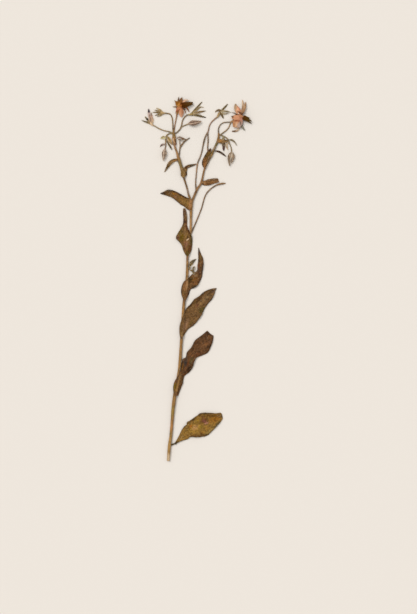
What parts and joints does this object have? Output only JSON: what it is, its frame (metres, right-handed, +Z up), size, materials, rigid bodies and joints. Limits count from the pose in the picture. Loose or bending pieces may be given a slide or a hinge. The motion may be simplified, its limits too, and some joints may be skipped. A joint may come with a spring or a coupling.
{
  "type": "pressed borage plant",
  "caption": "Pressed, dried flowering shoot of borage lying flat: ridged stem, forked flower branches, clasping leaves, bristly calyces, pointed petals and dark anther cones.",
  "frame": {"origin": "on the flat underside of the main stem, about halfway between the cut end and the flowers", "axes": "+Z up, away from the surface that the shoot lies on; +Y along the shoot from the cut end to the flowers; +X to the shoot's right, seen from above"},
  "size_m": [0.0754, 0.2481, 0.0032],
  "materials": {
    "stem": "dry, matt, faintly ridged stem, tan below and browner above",
    "leaf_gold": "matt dried leaf, golden brown with violet-brown blotches",
    "leaf_dark": "matt dried leaf, dark red-brown, wrinkled",
    "leaf_olive": "matt dried leaf, olive brown with a paler rib",
    "leaf_brown": "matt dried leaf, mid brown",
    "bract_brown": "matt dried bract, brown",
    "bract_tan": "matt dried bract, tan",
    "bract_dark": "matt dried bract, very dark brown",
    "bract_olive": "matt dried bract, olive",
    "calyx_violet": "bristly dried sepals, grey-violet to brown",
    "calyx_olive": "bristly dried sepals, yellow-olive",
    "calyx_brown": "bristly dried sepals, brown",
    "bud": "bristly closed bud, grey-violet, ridged",
    "petal": "thin dried petal, salmon pink, finely veined",
    "petal_orange": "thin dried petal, orange brown to salmon",
    "anther": "dry anthers, near-black brown"
  },
  "bodies": {
    "root": {"stem": "stem", "leaf_1": "leaf_gold", "leaf_2": "leaf_dark", "leaf_3": "leaf_olive", "leaf_4": "leaf_dark", "leaf_5": "leaf_olive", "leaf_6": "leaf_brown", "leaf_7": "leaf_brown", "leaf_8": "leaf_brown", "leaf_9": "leaf_olive", "leaf_10": "leaf_olive", "axillary_shoot": "bract_olive", "left_bract_broad": "bract_brown", "left_bract_tan": "bract_tan", "left_bract_narrow": "bract_dark", "left_bract_arched": "bract_olive", "left_bract_withered": "bract_dark", "right_bract_broad": "bract_brown", "right_bract_dark": "bract_dark", "right_bract_light": "bract_tan", "right_bract_narrow": "bract_dark", "right_bract_curled": "bract_dark", "left_bud_hanging": "bud", "left_bud_hairy": "bud", "left_bud_closed": "bud", "right_bud_hanging": "bud", "calyx_a": "calyx_violet", "calyx_b": "calyx_olive", "calyx_d": "calyx_olive", "calyx_f": "calyx_olive", "flower_1_calyx": "calyx_brown", "flower_2_calyx": "calyx_brown", "flower_1_corolla": "petal_orange", "flower_1_anthers": "anther", "flower_2_corolla": "petal", "flower_2_anthers": "anther"}
  },
  "joints": []
}
